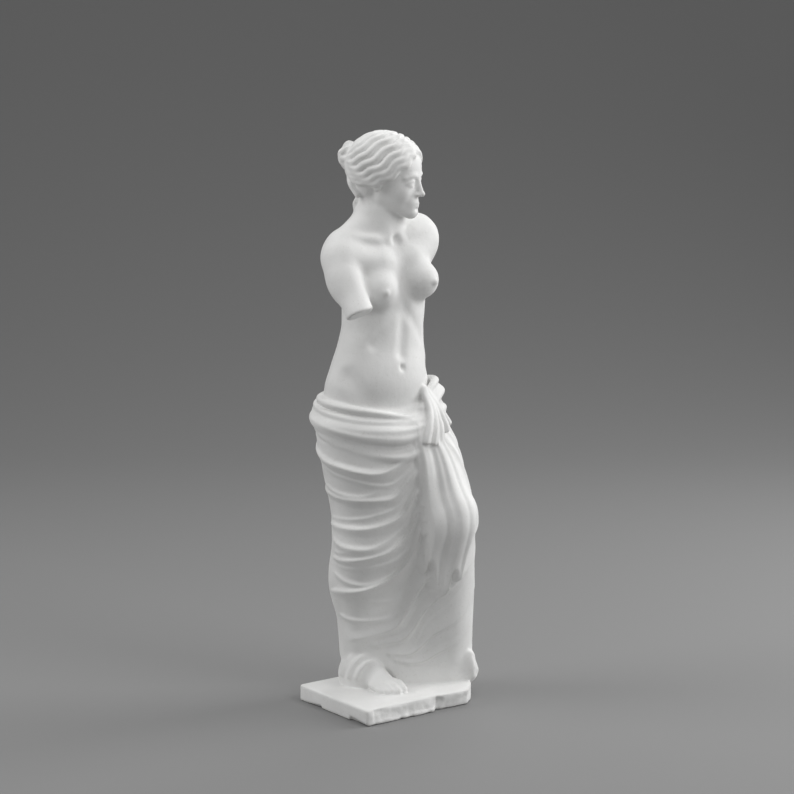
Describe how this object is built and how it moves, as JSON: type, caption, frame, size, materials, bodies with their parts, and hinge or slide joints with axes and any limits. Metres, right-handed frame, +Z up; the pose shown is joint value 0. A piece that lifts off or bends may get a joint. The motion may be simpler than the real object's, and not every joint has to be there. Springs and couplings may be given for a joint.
{
  "type": "half-draped Aphrodite statue",
  "caption": "Standing half-draped Aphrodite with broken arms, a plaster cast in one piece with its low broken plinth.",
  "frame": {"origin": "middle of the plinth's underside, on the surface that the statue stands on", "axes": "+Z up along the figure, -Y towards the figure's front, +X towards the figure's left"},
  "size_m": [0.1819, 0.1556, 0.6009],
  "materials": {
    "plaster": "matte white cast plaster"
  },
  "bodies": {
    "root": {"statue": "plaster"}
  },
  "joints": []
}
